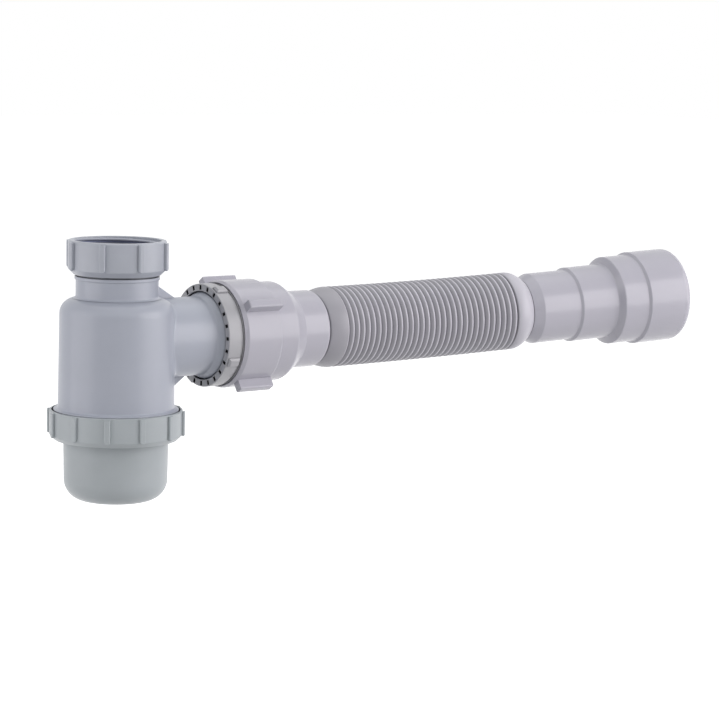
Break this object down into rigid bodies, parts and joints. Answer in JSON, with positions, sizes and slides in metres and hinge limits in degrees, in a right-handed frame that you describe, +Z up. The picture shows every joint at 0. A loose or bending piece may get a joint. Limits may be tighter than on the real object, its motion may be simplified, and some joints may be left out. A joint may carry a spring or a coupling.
{
  "type": "bottle trap",
  "caption": "Basin bottle trap with a ribbed inlet nut, screw-off cup, winged outlet socket and corrugated hose that ends in a stepped pipe socket.",
  "frame": {"origin": "centre of the inlet nut's mouth, on the trap's axis", "axes": "+Z up out of the inlet, +X along the outlet towards the hose's free end"},
  "size_m": [0.3725, 0.0888, 0.1255],
  "materials": {
    "body_plastic": "satin, bluish grey",
    "cup_plastic": "satin, greenish grey",
    "ring_plastic": "satin, neutral grey",
    "fitting_plastic": "gloss, light lilac grey",
    "hose_plastic": "semi-matt, mid grey",
    "tube_plastic": "satin grey",
    "washer": "soft, bluish",
    "seal_rubber": "matt black"
  },
  "bodies": {
    "trap": {"trap_body": "body_plastic", "dip_tube": "tube_plastic", "inlet_washer": "washer"},
    "nut": {"inlet_nut": "body_plastic"},
    "seal": {"cup_seal": "seal_rubber"},
    "cup": {"bottle_cup": "cup_plastic"},
    "ring": {"lock_ring": "ring_plastic"},
    "hose_near": {"hose_union": "fitting_plastic", "outlet_washer": "seal_rubber", "flexible_hose": "hose_plastic"},
    "hose_far": {"end_socket": "fitting_plastic"}
  },
  "joints": [
    {"name": "inlet_nut_spin", "type": "hinge", "parent": "trap", "child": "nut", "pos_m": [0, 0, 0], "axis": [0, 0, 1], "continuous": true},
    {"name": "cup_drop", "type": "slide", "parent": "trap", "child": "seal", "axis": [0, 0, -1], "range_m": [0, 0.009]},
    {"name": "cup_turn", "type": "hinge", "parent": "seal", "child": "cup", "pos_m": [0, 0, -0.09], "axis": [0, 0, -1], "range_deg": [0, 1080]},
    {"name": "lock_ring_spin", "type": "hinge", "parent": "trap", "child": "ring", "pos_m": [0.05, 0, -0.0487], "axis": [1, 0, 0], "continuous": true},
    {"name": "hose_swivel", "type": "hinge", "parent": "trap", "child": "hose_near", "pos_m": [0.057, 0, -0.0487], "axis": [1, 0, 0], "continuous": true},
    {"name": "hose_bend", "type": "hinge", "parent": "hose_near", "child": "hose_far", "pos_m": [0.17908, -0.00328, -0.04763], "axis": [0.1011, 0.9949, 0], "range_deg": [-45, 45], "deforming": ["flexible_hose"]}
  ],
  "couplings": [
    {"joint": "cup_drop", "follows": "cup_turn", "m_per_rad": 0.000477}
  ]
}
